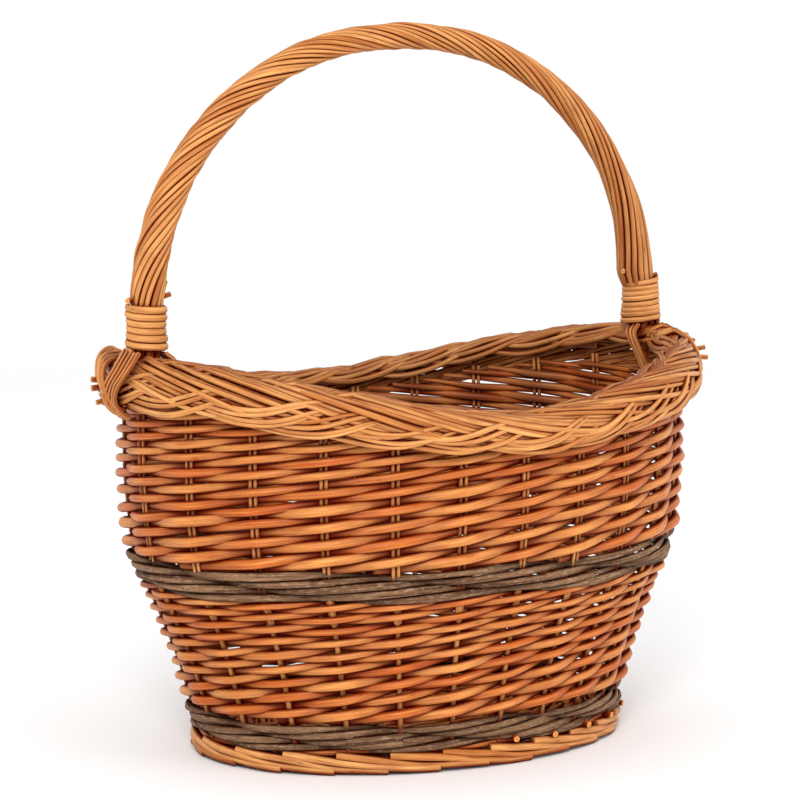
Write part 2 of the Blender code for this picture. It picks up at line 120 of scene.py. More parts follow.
def wall_table():
    """The stakes' centre line at every level, carried on upwards and smoothed: (stake, level, xy)."""
    table = np.zeros((STAKES, len(LEVELS), 2))
    for number in range(STAKES):
        heights, centres = stake_line(f"stake_{number + 1:02d}")
        for axis in (0, 1):
            table[number, :, axis] = softened(np.interp(LEVELS, heights, centres[:, axis]), 4)
    return table


WALL_TABLE = wall_table()


BORDER_LEVEL = -8  # a level inside the border, counted from the last one
NEAR_STAKE, BESIDE_STAKE = 0.018, 0.008  # the border's edges are read this close to each stake


def rim_edges():
    """The rim border's lowest and highest height at each stake."""
    points = cad_points("rim_border")
    low, top = np.zeros(STAKES), np.zeros(STAKES)
    for number in range(STAKES):
        centre = WALL_TABLE[number, BORDER_LEVEL]
        near = np.linalg.norm(points[:, :2] - centre, axis=1) < NEAR_STAKE
        towards = centre / np.linalg.norm(centre)
        beside = np.abs((points[:, :2] - centre) @ np.array([-towards[1], towards[0]])) < BESIDE_STAKE
        low[number] = points[near & beside][:, 2].min()
        top[number] = points[near & beside][:, 2].max()
    return low, top


RIM_LOW, RIM_TOP = rim_edges()


def blend_four(a, b, c, d, share):
    """Catmull-Rom between b and c."""
    return b + 0.5 * share * (c - a + share * (2 * a - 5 * b + 4 * c - d + share * (3 * (b - c) + d - a)))


def round_the_basket(values, u):
    """Smooth reading of one number per stake at any u."""
    u = u + STAKE_SHIFT
    column = np.floor(u).astype(int)
    return blend_four(*(values[(column + step) % STAKES] for step in (-1, 0, 1, 2)), u - column)


# The share of the swell at each height: (height, share)
SWELL = np.array([(0.10, 0.0), (0.125, 1.0), (0.15, 1.2), (0.22, 1.0), (0.245, 0.0)])


def end_swell(z):
    """The upper wall stands a little further out at the basket's ends."""
    return 1 + END_SWELL * reading(SWELL, z)


def wall_xy(u, z):
    """The stakes' centre surface at u and height z."""
    u = u + STAKE_SHIFT
    column = np.floor(u).astype(int)
    level = np.clip(z / LEVEL_STEP, 0, len(LEVELS) - 1.001)
    row = np.floor(level).astype(int)
    part = (level - row)[:, None]
    corners = []
    for step in (-1, 0, 1, 2):
        stake = (column + step) % STAKES
        corners.append(WALL_TABLE[stake, row] * (1 - part) + WALL_TABLE[stake, row + 1] * part)
    points = blend_four(*corners, (u - column)[:, None])
    points[:, 0] *= end_swell(z)
    return points


def outward_at(u, z):
    """The wall's horizontal outward direction."""
    nudge = 0.02
    along = wall_xy(u + nudge, z) - wall_xy(u - nudge, z)
    along /= np.linalg.norm(along, axis=1, keepdims=True)
    return np.stack([along[:, 1], -along[:, 0], np.zeros(len(u))], axis=1)


def on_wall(u, z, offset):
    """Points at u and z, moved outwards by the offset, with the outward direction there."""
    u, z, offset = np.broadcast_arrays(*(np.asarray(row, float) for row in (u, z, offset)))
    outward = outward_at(u, z)
    points = np.concatenate([wall_xy(u, z), z[:, None]], axis=1) + outward * offset[:, None]
    return points, outward


def rim_low(u):
    """The height of the border's lower edge at any u."""
    return round_the_basket(RIM_LOW, np.asarray(u, float))


def rim_top(u):
    """The height of the border's top at any u."""
    return round_the_basket(RIM_TOP, np.asarray(u, float))


def nearest_u(x, y):
    """The u of the wall's point nearest to a place, just under the border."""
    under_border = 0.22
    samples = np.arange(0, STAKES, 0.01)
    points = wall_xy(samples, np.full(len(samples), under_border))
    return float(samples[np.argmin(np.hypot(points[:, 0] - x, points[:, 1] - y))])


# ---- Making rods ----

def smooth_curve(points, count):
    """A Catmull-Rom curve through a short list of points."""
    points = np.asarray(points, float)
    ends = [2 * points[0] - points[1], *points, 2 * points[-1] - points[-2]]
    places = np.linspace(0, len(points) - 1, count)
    column = np.minimum(np.floor(places).astype(int), len(points) - 2)
    ends = np.array(ends)
    return blend_four(ends[column], ends[column + 1], ends[column + 2], ends[column + 3],
                      (places - column)[:, None])


def wander(count, size, waves=3):
    """A small smooth random walk along a rod."""
    places = np.linspace(0, 1, count)
    total = np.zeros(count)
    for wave in range(1, waves + 1):
        total += RANDOM.normal() * np.sin(2 * np.pi * (wave * places + RANDOM.random())) / wave
    return total * size


# A rod's place in its piece's UV square: the tube lies in a strip of its own, and the two ends lie
# at the strip's right end
UV_TUBE_START, UV_TUBE_LENGTH = 0.01, 0.94
UV_STRIP_MARGIN, UV_STRIP_WIDTH = 0.06, 0.88
UV_FIRST_END, UV_LAST_END = 0.985, 0.965
UV_END_LENGTH, UV_END_WIDTH = 0.008, 0.4
BUMP_SIZE, BUMP_RATE = 0.035, 90  # a rod is never quite round
END_BULGE = 0.12  # how far a cut end stands out, in radii


class Bunch:
    """The rods of one visible piece, turned into a single mesh by build()."""

    def __init__(self, name):
        self.name = name
        self.rods = []

    def add(self, line, radius, facing, flat=1.0, shade=0.0, tone=None):
        """A rod along a line of points. radius may vary, facing is the side that flat squeezes."""
        line = np.asarray(line, float)
        count = len(line)
        radius = np.broadcast_to(np.asarray(radius, float), (count,))
        facing = np.broadcast_to(np.asarray(facing, float), (count, 3))
        shade = np.broadcast_to(np.asarray(shade, float), (count,))
        tone = RANDOM.random() if tone is None else tone
        self.rods.append((line, radius, facing, flat, shade, tone, RANDOM.random()))

    def build(self, material, nodes, slot, sides=TUBE_SIDES):
        """One mesh of all the rods. Its attributes feed the material:

        grain: length along the rod, and the place across it
        rod: the rod's tone, its seed, and how far a vertex faces in or out (1) or sideways (0)
        state: 1 on a cut end, the darkening (mostly painted shade), 1 on a cut end's edge
        """
        points, grain, rod, state = [], [], [], []
        quads, quad_uvs, fans, fan_uvs = [], [], [], []
        start = 0
        turn = 2 * np.pi * np.arange(sides) / sides
        rows = len(self.rods)
        for number, (line, radius, facing, flat, shade, tone, seed) in enumerate(self.rods):
            # The tube: a ring of vertices at each point of the line
            count = len(line)
            along = np.gradient(line, axis=0)
            along /= np.linalg.norm(along, axis=1, keepdims=True) + 1e-12
            side = facing - along * np.sum(facing * along, axis=1, keepdims=True)
            side /= np.linalg.norm(side, axis=1, keepdims=True) + 1e-12
            up = np.cross(along, side)
            length = np.concatenate([[0], np.cumsum(np.linalg.norm(np.diff(line, axis=0), axis=1))])
            bumps = 1 + BUMP_SIZE * np.sin(length[:, None] * BUMP_RATE + seed * 40 + 2 * turn) * (seed - 0.3)
            reach = radius[:, None] * bumps
            ring = (line[:, None, :] + side[:, None, :] * (reach * flat * np.cos(turn))[..., None]
                    + up[:, None, :] * (reach / flat * np.sin(turn))[..., None])
            points.append(ring.reshape(-1, 3))
            around = np.stack([np.broadcast_to(length[:, None] + seed * 7, (count, sides)),
                               radius[:, None] * np.cos(turn) + seed,
                               radius[:, None] * np.sin(turn) + tone], axis=2)
            grain.append(around.reshape(-1, 3))
            rod.append(np.stack([np.full(count * sides, tone), np.full(count * sides, seed),
                                 np.tile(np.abs(np.cos(turn)), count)], axis=1))
            state.append(np.stack([np.zeros(count * sides), np.repeat(shade, sides),
                                   np.zeros(count * sides)], axis=1))
            index = start + np.arange(count * sides).reshape(count, sides)
            after = np.roll(index, -1, axis=1)
            quads.append(np.stack([index[:-1], after[:-1], after[1:], index[1:]], axis=2).reshape(-1, 4))
            share = length / max(length[-1], 1e-9)
            low = (number + UV_STRIP_MARGIN + UV_STRIP_WIDTH * np.arange(sides) / sides) / rows
            high = low + UV_STRIP_WIDTH / sides / rows
            places = UV_TUBE_START + UV_TUBE_LENGTH * share
            corners = np.empty((count - 1, sides, 4, 2))
            corners[:, :, 0, 0] = corners[:, :, 1, 0] = places[:-1, None]
            corners[:, :, 2, 0] = corners[:, :, 3, 0] = places[1:, None]
            corners[:, :, 0, 1] = corners[:, :, 3, 1] = low
            corners[:, :, 1, 1] = corners[:, :, 2, 1] = high
            quad_uvs.append(corners.reshape(-1, 2))
            start += count * sides
            # The cut ends: a fan of triangles round a middle point that stands out a little
            for end, outward, place in ((0, -1, UV_FIRST_END), (count - 1, 1, UV_LAST_END)):
                middle = line[end] + along[end] * outward * radius[end] * END_BULGE
                points.append(np.concatenate([ring[end], middle[None]]))
                grain.append(np.concatenate([around[end], [[length[end], seed, tone]]]) + 3.0)
                rod.append(np.tile([tone, seed, 1.0], (sides + 1, 1)))
                state.append(np.stack([np.ones(sides + 1), np.full(sides + 1, shade[end]),
                                       np.append(np.ones(sides), 0.0)], axis=1))
                edge = start + np.arange(sides)
                edge_uv = np.stack([place + UV_END_LENGTH * np.cos(turn),
                                    (number + 0.5) / rows + UV_END_WIDTH / rows * np.sin(turn)], axis=1)
                centre = np.full(sides, start + sides)
                centre_uv = np.tile([place, (number + 0.5) / rows], (sides, 1))
                fan = [edge, np.roll(edge, -1), centre]
                fan_uv = [edge_uv, np.roll(edge_uv, -1, axis=0), centre_uv]
                if outward < 0:
                    fan[:2] = fan[1::-1]
                    fan_uv[:2] = fan_uv[1::-1]
                fans.append(np.stack(fan, axis=1))
                fan_uvs.append(np.stack(fan_uv, axis=1).reshape(-1, 2))
                start += sides + 1
        attributes = {"grain": grain, "rod": rod, "state": state}
        piece = self._mesh(np.concatenate(points), np.concatenate(quads), np.concatenate(fans),
                           np.concatenate(quad_uvs + fan_uvs), attributes)
        piece.data.materials.append(material)
        bpy.context.scene.collection.objects.link(piece)
        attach(piece, "root")
        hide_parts(*nodes)

    def _mesh(self, points, quads, fans, uvs, attributes):
        """The mesh object with these vertices, four-sided and three-sided faces, UVs and attributes."""
        mesh = bpy.data.meshes.new(self.name)
        mesh.vertices.add(len(points))
        mesh.vertices.foreach_set("co", points.astype(np.float32).ravel())
        loops = np.concatenate([quads.ravel(), fans.ravel()])
        mesh.loops.add(len(loops))
        mesh.loops.foreach_set("vertex_index", loops.astype(np.int32))
        sizes = np.concatenate([np.full(len(quads), 4), np.full(len(fans), 3)])
        starts = np.concatenate([[0], np.cumsum(sizes)[:-1]])
        mesh.polygons.add(len(sizes))
        mesh.polygons.foreach_set("loop_start", starts.astype(np.int32))
        mesh.polygons.foreach_set("use_smooth", np.ones(len(sizes), bool))
        mesh.uv_layers.new(name="OFBake").data.foreach_set("uv", uvs.astype(np.float32).ravel())
        for name, rows in attributes.items():
            layer = mesh.attributes.new(name, "FLOAT_VECTOR", "POINT")
            layer.data.foreach_set("vector", np.concatenate(rows).astype(np.float32).ravel())
        mesh.update()
        mesh.validate()
        return bpy.data.objects.new(self.name, mesh)


# ---- Materials ----

class Graph:
    """Short calls for building a node tree."""

    def __init__(self, material):
        self.tree = material.node_tree
        self.shader = self.tree.nodes["Principled BSDF"]

    def node(self, kind, inputs=None, **settings):
        made = self.tree.nodes.new(kind)
        for name, value in settings.items():
            setattr(made, name, value)
        for socket, value in (inputs or {}).items():
            self.put(made.inputs[socket], value)
        return made

    def put(self, socket, value):
        if isinstance(value, bpy.types.NodeSocket):
            self.tree.links.new(value, socket)
        else:
            socket.default_value = value

    def attribute(self, name):
        return self.node("ShaderNodeAttribute", attribute_name=name).outputs["Vector"]

    def parts(self, vector):
        return self.node("ShaderNodeSeparateXYZ", {0: vector}).outputs

    def math(self, operation, first, second=0.0, clamp=False):
        return self.node("ShaderNodeMath", {0: first, 1: second}, operation=operation,
                         use_clamp=clamp).outputs[0]

    def mix(self, share, first, second):
        """The first colour, going over to the second as the share grows."""
        made = self.node("ShaderNodeMix", data_type="RGBA", blend_type="MIX")
        self.put(made.inputs["Factor"], share)
        self.put(made.inputs["A"], first if isinstance(first, bpy.types.NodeSocket) else (*first, 1.0))
        self.put(made.inputs["B"], second if isinstance(second, bpy.types.NodeSocket) else (*second, 1.0))
        return made.outputs["Result"]

    def ramp(self, value, low, high):
        """0 at low, 1 at high."""
        made = self.node("ShaderNodeMapRange", {"Value": value, "From Min": low, "From Max": high})
        return made.outputs["Result"]

    def cover(self, below, colour, where, amount):
        """A colour laid over another one where a mask says so."""
        return self.mix(self.math("MULTIPLY", where, amount), below, colour)

    def noise(self, vector, scale, detail=3.0, stretch=(1.0, 1.0, 1.0), roughness=0.55):
        scaled = self.node("ShaderNodeVectorMath", {0: vector, 1: stretch}, operation="MULTIPLY").outputs[0]
        return self.node("ShaderNodeTexNoise", {"Vector": scaled, "Scale": scale, "Detail": detail,
                                                "Roughness": roughness}).outputs["Fac"]


def tinted(colour, *shares):
    """A colour with its red, green and blue each cut down to a share."""
    return tuple(value * share for value, share in zip(colour, shares))


def willow(name, pale, middle, deep, crevice_shade, roughness, sheen, bark=0.0, fleck=None):
    """Willow: streaks along the rod, a shade of its own for each rod, knots, dirt and cut ends.

    The crevice shade colour is painted shade: it fills the gaps between rods, the hollows that ambient
    occlusion finds and the sides of each rod, where it meets the next one. bark is how much of the
    rod is covered with flakes of the fleck colour.
    """
    material = bpy.data.materials.new(name)
    material.use_nodes = True
    graph = Graph(material)
    grain = graph.attribute("grain")
    tone, _, facing = graph.parts(graph.attribute("rod"))
    cut, darkening, cut_edge = graph.parts(graph.attribute("state"))

    # The wood
    streaks = graph.noise(grain, 1.0, 4.0, (14.0, 900.0, 900.0))
    patches = graph.noise(grain, 1.0, 3.0, (45.0, 160.0, 160.0))
    fibres = graph.noise(grain, 1.0, 2.0, (60.0, 2600.0, 2600.0))
    spots = graph.node("ShaderNodeTexVoronoi", {
        "Vector": graph.node("ShaderNodeVectorMath", {0: grain, 1: (70.0, 420.0, 420.0)},
                             operation="MULTIPLY").outputs[0], "Scale": 1.0}).outputs["Distance"]
    shade = graph.mix(graph.ramp(tone, 0.0, 1.0), middle, pale)
    shade = graph.cover(shade, deep, graph.ramp(patches, 0.42, 0.70), 0.55)
    shade = graph.cover(shade, pale, graph.ramp(streaks, 0.42, 0.60), 0.50)
    shade = graph.cover(shade, deep, graph.ramp(fibres, 0.58, 0.42), 0.42)
    if bark:
        flakes = graph.noise(grain, 1.0, 5.0, (220.0, 700.0, 700.0), 0.7)
        shade = graph.cover(shade, fleck, graph.ramp(flakes, 0.52, 0.66), bark)
    knots = graph.math("MULTIPLY", graph.ramp(spots, 0.16, 0.07), graph.ramp(patches, 0.50, 0.60),
                       clamp=True)
    shade = graph.cover(shade, tinted(deep, 0.25, 0.2, 0.2), knots, 0.75)

    # Painted shade and cut ends: the state's second value darkens the colour where a rod lies inside the
    # wall, under the wales or under other rods, and all over the bottom wale
    shade_share = graph.math("MULTIPLY", darkening, 0.9, clamp=True)
    shade = graph.mix(shade_share, shade, tinted(deep, 0.30, 0.17, 0.14))
    pith = graph.mix(graph.ramp(cut_edge, 0.55, 0.15), pale, tinted(pale, 0.45, 0.35, 0.3))
    shade = graph.cover(shade, pith, cut, 0.8)

    # Painted crevice shade: the open share is 1 on the crown of a free rod and 0 deep between rods, where
    # the crevice shade colour takes over
    hollow = graph.node("ShaderNodeAmbientOcclusion", {"Distance": 0.009}, samples=6).outputs["AO"]
    hollow = graph.math("POWER", graph.ramp(hollow, 0.20, 0.84), 1.35)
    groove = graph.node("ShaderNodeMapRange", {"Value": facing, "From Min": 0.05, "From Max": 0.72,
                                               "To Min": 0.30, "To Max": 1.0}).outputs["Result"]
    open_share = graph.math("MULTIPLY", hollow, groove)
    graph.put(graph.shader.inputs["Base Color"], graph.mix(open_share, crevice_shade, shade))

    # Gloss and relief
    rough = graph.math("ADD", graph.math("MULTIPLY", patches, 0.25), roughness - 0.12)
    graph.put(graph.shader.inputs["Roughness"], rough)
    graph.put(graph.shader.inputs["Specular IOR Level"], graph.math("MULTIPLY", open_share, sheen))
    height = graph.math("ADD", graph.math("MULTIPLY", streaks, 0.6), graph.math("MULTIPLY", fibres, 0.4))
    if bark:
        height = graph.math("ADD", height, graph.math("MULTIPLY", flakes, 0.8))
    bump = graph.node("ShaderNodeBump", {"Height": height, "Strength": 0.35 + 0.4 * bool(bark),
                                         "Distance": 0.0005}).outputs["Normal"]
    graph.put(graph.shader.inputs["Normal"], bump)
    return material


PEELED = willow("peeled_willow", pale=(0.80, 0.390, 0.125), middle=(0.45, 0.135, 0.021),
                deep=(0.25, 0.044, 0.003), crevice_shade=(0.13, 0.0040, 0.0003), roughness=0.46, sheen=0.22)
BUFF = willow("buff_willow", pale=(0.79, 0.335, 0.085), middle=(0.57, 0.116, 0.008),
              deep=(0.29, 0.026, 0.001), crevice_shade=(0.15, 0.0035, 0.0003), roughness=0.42, sheen=0.25)
BARK = willow("bark_willow", pale=(0.40, 0.215, 0.108), middle=(0.100, 0.033, 0.011),
              deep=(0.018, 0.004, 0.001), crevice_shade=(0.022, 0.0015, 0.0002), roughness=0.66, sheen=0.15,
              bark=0.55, fleck=(0.58, 0.39, 0.25))


# ---- Siding: French randing ----

def layer_heights(low, butt, tip, layers):
    """The heights of a siding's layers: each is one rod thicker than the last, butts below."""
    thickness = np.linspace(butt, tip, layers)
    return low + np.cumsum(thickness) - thickness / 2, thickness


SIDING_SAG = 0.0006  # how unevenly a weaver is beaten down at each stake
ROUND_SHARE = 0.35  # the rest of a weaver's way in and out is straight
INTO_BORDER = 0.010  # how far the weavers go up inside the border
SIDING_DEPTH = 0.009  # from the wall's outer face to its inner one, which gets painted shade


def build_siding(word, low, butt, tip, layers, stake_radius, nodes):
    """One rod starts behind each stake, goes in front of the next, and climbs a layer at each."""
    heights, thickness = layer_heights(low, butt, tip, layers)
    pieces = [Bunch(f"{word}_weavers_{letter}") for letter in "abc"]
    for first in range(STAKES):
        size = RANDOM.normal(1.0, 0.07)
        stops = np.arange(layers)
        shift = RANDOM.normal(0, SIDING_SAG, layers)
        swing = 1 + RANDOM.normal(0, 0.10, layers)
        steps = np.linspace(-0.30, layers - 0.72, (layers - 1) * PER_STAKE)
        u = first + steps
        z = np.interp(steps, stops, heights + shift) + wander(len(u), STRAY_SIDING_HEIGHT, 6)
        wave = np.cos(np.pi * steps)
        gentle = ROUND_SHARE * wave + (1 - ROUND_SHARE) * 2 / np.pi * np.arcsin(0.99 * wave)
        radius = np.interp(steps, stops, thickness / 2) * size * FATTER
        reach = (stake_radius + radius * 0.90) * np.interp(steps, stops, swing)
        offset = -reach * gentle
        keep = z < rim_low(u) + INTO_BORDER
        if not keep.all():
            last = int(np.argmin(keep))
            steps, u, z, radius, offset = (row[:last] for row in (steps, u, z, radius, offset))
        taper = [steps[0], steps[0] + 0.3, steps[-1] - 1, steps[-1]]
        radius = radius * np.interp(steps, taper, [0.9, 1, 1, 0.6])
        # Painted shade: the further inside a pass lies, the darker its colour
        inside = np.clip(0.5 - offset / SIDING_DEPTH, 0, 1)
        points, outward = on_wall(u, z, offset + wander(len(u), STRAY_SIDING))
        pieces[first % 3].add(points, radius, outward, flat=0.97, shade=0.9 * inside ** 1.3)
    for number, piece in enumerate(pieces):
        piece.build(BUFF, nodes if number == 0 else [], "buff_willow")


# ---- Stakes ----

def under_wales(z):
    """How dark a stake is painted: painted shade where the wales close over it."""
    heights = [BOTTOM_LOW, BOTTOM_LOW + 0.002, BOTTOM_TOP + 0.001, BOTTOM_TOP + 0.004,
               MIDDLE_LOW, MIDDLE_LOW + 0.003, MIDDLE_TOP - 0.003, MIDDLE_TOP]
    return np.interp(z, heights, [0.5, 1.0, 1.0, 0.0, 0.0, 1.0, 1.0, 0.0])


def add_upright(piece, u, low, top, count, radius):
    """One upright rod, with painted shade where the wales cover it."""
    z = np.linspace(low, top, count)
    line, outward = on_wall(u, z, wander(count, STRAY_UPRIGHT))
    piece.add(line, radius, outward, shade=under_wales(z), tone=0.6 + 0.4 * RANDOM.random())


def build_stakes(middle):
    """Pairs of thin rods above the middle wale, a single thicker one below it."""
    pieces = [Bunch(f"stakes_{word}") for word in ("right", "back", "left", "front")]
    for number in range(STAKES):
        piece = pieces[number * 4 // STAKES]
        top = float(rim_low(number)) + 0.012
        add_upright(piece, number, 0.004, middle + 0.004, 40, STAKE_SINGLE_RADIUS)
        for side in (-1, 1):
            apart = STAKE_PAIR_RADIUS * 1.02 + abs(RANDOM.normal(0, 0.0003))
            add_upright(piece, number + side * apart / STAKE_GAP, middle - 0.014, top, 36, STAKE_PAIR_RADIUS)
    names = [f"stake_{number:02d}" for number in range(1, STAKES + 1)]
    for number, piece in enumerate(pieces):
        piece.build(PEELED, names if number == 0 else [], "buff_willow")


# ---- Wales ----

ROUND_START = 0.37  # stakes by which each round starts after the one below
WALE_SPACING = 3  # a wale rod's pattern repeats every three stakes
OVER_EDGE = 0.2  # radii by which a wale may stand over its band's edge


def build_wale(word, low, top, radius, stake_radius, node, darkening):
    """Three-rod wale: each rod passes in front of two stakes and behind one, rising as it goes."""
    piece = Bunch(f"{word}_wale_rods")
    pitch = (top - low - OVER_EDGE * radius) / WALE_ROUNDS
    for level in range(WALE_ROUNDS):
        for start in range(0, STAKES, 2):
            size = RANDOM.normal(1.0, 0.12)
            cycles = 2 + (start % 4) / 4
            steps = np.linspace(-0.35, WALE_SPACING * cycles, int(WALE_SPACING * cycles * PER_STAKE))
            u = start + steps + level * ROUND_START
            phase = ((steps + (start % 3) + level) / WALE_SPACING) % 1.0
            # It stays longer in front than behind, and comes out a little further as it goes
            front = (0.5 - 0.5 * np.cos(2 * np.pi * phase)) ** 0.7
            offset = -(stake_radius + radius) + 2 * (stake_radius + radius * 0.9) * front
            offset += np.where(front > 0.5, 0.0012 * (phase - 0.5), 0)
            climb = pitch * WALE_RISE * (phase - 0.5) * np.sin(np.pi * phase) ** 0.5
            z = low + pitch * (level + 0.5) + climb
            z = np.clip(z + wander(len(u), STRAY_WALE_HEIGHT), low + 0.5 * radius, top + OVER_EDGE * radius)
            line, outward = on_wall(u, z, offset + 0.0006 + wander(len(u), STRAY_WALE))
            # Painted shade on the passes behind the stakes, never less than the band's given darkening
            shade = np.maximum(darkening, 0.9 * np.clip(0.5 - offset / 0.008, 0, 1))
            piece.add(line, radius * size, outward, flat=0.95, shade=shade)
    piece.build(BARK, [node], "brown_bark_willow")


# ---- Foot ----

# A foot rod's height and its offset from the wall: (stakes on, metres)
FOOT_HEIGHT = np.array([(-0.22, 0.0122), (0.5, 0.0096), (1.5, 0.0052), (2.72, 0.0027)])
FOOT_OFFSET = np.array([(-0.22, 0.0030), (0.4, 0.0042), (1.5, 0.0040), (2.72, 0.0046)])
# The height of its start, which lies inside the wall, and how far inside
START_HEIGHT = np.array([(-1.2, 0.0095), (0.3, 0.0060), (1.6, 0.0040)])
START_OFFSET = -0.0022


def build_foot():
    """One rod from each stake rolls over the next ones: its butt is up under the wale."""
    piece = Bunch("foot_border_rods")
    for number in range(STAKES):
        count = 34
        steps = np.linspace(FOOT_HEIGHT[0, 0], FOOT_HEIGHT[-1, 0], count)
        z = softened(reading(FOOT_HEIGHT, steps), 3)
        offset = reading(FOOT_OFFSET, steps)
        z = np.maximum(z + wander(count, STRAY_BORDER), FOOT_ROD_RADIUS + 0.0001)
        line, outward = on_wall(number + steps, z, offset + wander(count, STRAY_BORDER))
        piece.add(line, FOOT_ROD_RADIUS * RANDOM.normal(1.0, 0.05), outward)
        count = 30
        steps = np.linspace(START_HEIGHT[0, 0], START_HEIGHT[-1, 0], count)
        z = reading(START_HEIGHT, steps)
        line, outward = on_wall(number + 0.4 + steps, z, START_OFFSET + wander(count, STRAY_BORDER))
        # The start lies inside the wall: painted shade
        piece.add(line, FOOT_ROD_RADIUS * 0.9, outward, shade=0.3)
    piece.build(PEELED, ["foot_border"], "light_willow")


BUTT_HEIGHT, BUTT_LENGTH, BUTT_RADIUS = 0.0162, 0.0082, 0.0019


def build_stake_butts():
    """The stakes' cut butts stand out between the foot and the bottom wale, front right."""
    ends = Bunch("stake_butt_ends")
    for number in range(STAKES):
        u = number + 0.30 + RANDOM.normal(0, 0.04)
        centre, outward = on_wall([u], [BUTT_HEIGHT + RANDOM.normal(0, 0.0005)], [0.0])
        if centre[0][0] < 0.01 or centre[0][1] > 0:
            continue
        across = np.array([-outward[0][1], outward[0][0], 0.0])
        direction = outward[0] * 0.9 - across * 0.25 + np.array([0, 0, -0.15])
        line = centre[0] + direction * np.linspace(0.0, BUTT_LENGTH, 6)[:, None]
        ends.add(line, BUTT_RADIUS, [0, 0, 1], tone=0.2)
    ends.build(BUFF, [], "buff_willow")


# ---- Base ----

BASE_PITCH = 0.0040  # from one oval of the base's weave to the next
BASE_INSET = 0.004
BASE_RODS_OVER = 9  # waves of a base rod over and under the sticks
BASE_WEAVE_RADIUS, BASE_STICK_RADIUS = 0.00185, 0.0024


def build_base():
    """Sticks across and along, with rods paired round them in closer and closer ovals."""
    weave = Bunch("base_weave_rods")
    low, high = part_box("base_weave")
    middle = (low.z + high.z) / 2
    half_length, half_width = high.x - BASE_INSET, high.y - BASE_INSET
    steps = np.linspace(0, 2 * np.pi, 260)
    for number in range(int(half_width / BASE_PITCH)):
        inset = number * BASE_PITCH
        x = (half_length - inset) * np.cos(steps)
        y = (half_width - inset) * np.sin(steps)
        z = middle - 0.0006 + np.cos(BASE_RODS_OVER * steps + np.pi * (number % 2)) * 0.0012
        weave.add(np.stack([x, y, z], axis=1), BASE_WEAVE_RADIUS, [0, 0, 1], tone=RANDOM.random())
    weave.build(BUFF, ["base_weave"], "buff_willow")
    sticks = Bunch("base_sticks")
    names = [f"base_cross_stick_{number}" for number in range(1, 6)]
    names += [f"base_long_stick_{number}" for number in range(1, 4)]
    for name in names:
        low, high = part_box(name)
        centre, size = (low + high) / 2, high - low
        reach = Vector((size.x / 2, 0, 0)) if size.x > size.y else Vector((0, size.y / 2, 0))
        line = np.linspace(centre - reach, centre + reach, 24)
        sticks.add(line, BASE_STICK_RADIUS, [0, 0, 1], flat=0.8, tone=0.3)
    sticks.build(BUFF, names, "willow_stick")


# ---- Rim border ----

# The border's section, from its outer lower edge over the top to its inner lower edge:
# (place, offset from the wall, share of the border's height)
RIM_SECTION = np.array([
    (-1.15, 0.0100, 0.00), (-1.0, 0.0135, 0.09), (-0.75, 0.0152, 0.32), (-0.5, 0.0142, 0.58),
    (-0.25, 0.0112, 0.80), (0.0, 0.0030, 0.945), (0.25, -0.0060, 0.88), (0.5, -0.0100, 0.66),
    (0.75, -0.0105, 0.42), (1.0, -0.0095, 0.22)])
# A bundle's way along its stakes: (stakes from its start, place on the section, depth below the
# border's surface, share of the bundle's full width)
RIM_WAY = np.array([
    (0.0, -0.50, 0.0090, 0.6), (0.6, -0.20, 0.0075, 0.8), (1.1, 0.10, 0.0025, 1.0),
    (1.7, 0.38, 0.0002, 1.0), (2.3, 0.46, 0.0015, 0.9), (2.8, 0.22, 0.0040, 0.8),
    (3.2, 0.02, 0.0020, 0.9), (3.6, -0.11, 0.0002, 1.0), (4.2, -0.29, 0.0000, 1.0),
    (4.8, -0.47, 0.0000, 1.0), (5.3, -0.62, 0.0004, 0.95), (5.7, -0.74, 0.0018, 0.9),
    (6.05, -0.84, 0.0026, 0.85), (6.4, -0.91, 0.0010, 0.8), (6.8, -0.90, -0.0004, 0.8),
    (7.15, -0.78, -0.0012, 0.8), (7.45, -0.62, -0.0002, 0.8), (7.8, -0.44, 0.0036, 0.75),
    (8.2, -0.26, 0.0070, 0.7)])
RIM_TILE = 0.0008  # each rod of a bundle is tucked further under the next bundle
RIM_FACE = 0.030  # the border's outer face, measured over its curve
RIM_POINTS = 92
RIM_MIDDLE = 0.0020  # the section's middle, from the wall


def rim_place(u, place, depth):
    """A point in the border: on its section at a place, sunk below the surface by the depth."""
    low, top = rim_low(u), rim_top(u)
    offset = np.interp(place, RIM_SECTION[:, 0], RIM_SECTION[:, 1])
    height = low + (top - low) * np.interp(place, RIM_SECTION[:, 0], RIM_SECTION[:, 2])
    inward = np.stack([RIM_MIDDLE - offset, (low + top) / 2 - height], axis=1)
    inward /= np.linalg.norm(inward, axis=1, keepdims=True)
    return on_wall(u, height + inward[:, 1] * depth, offset + inward[:, 0] * depth)


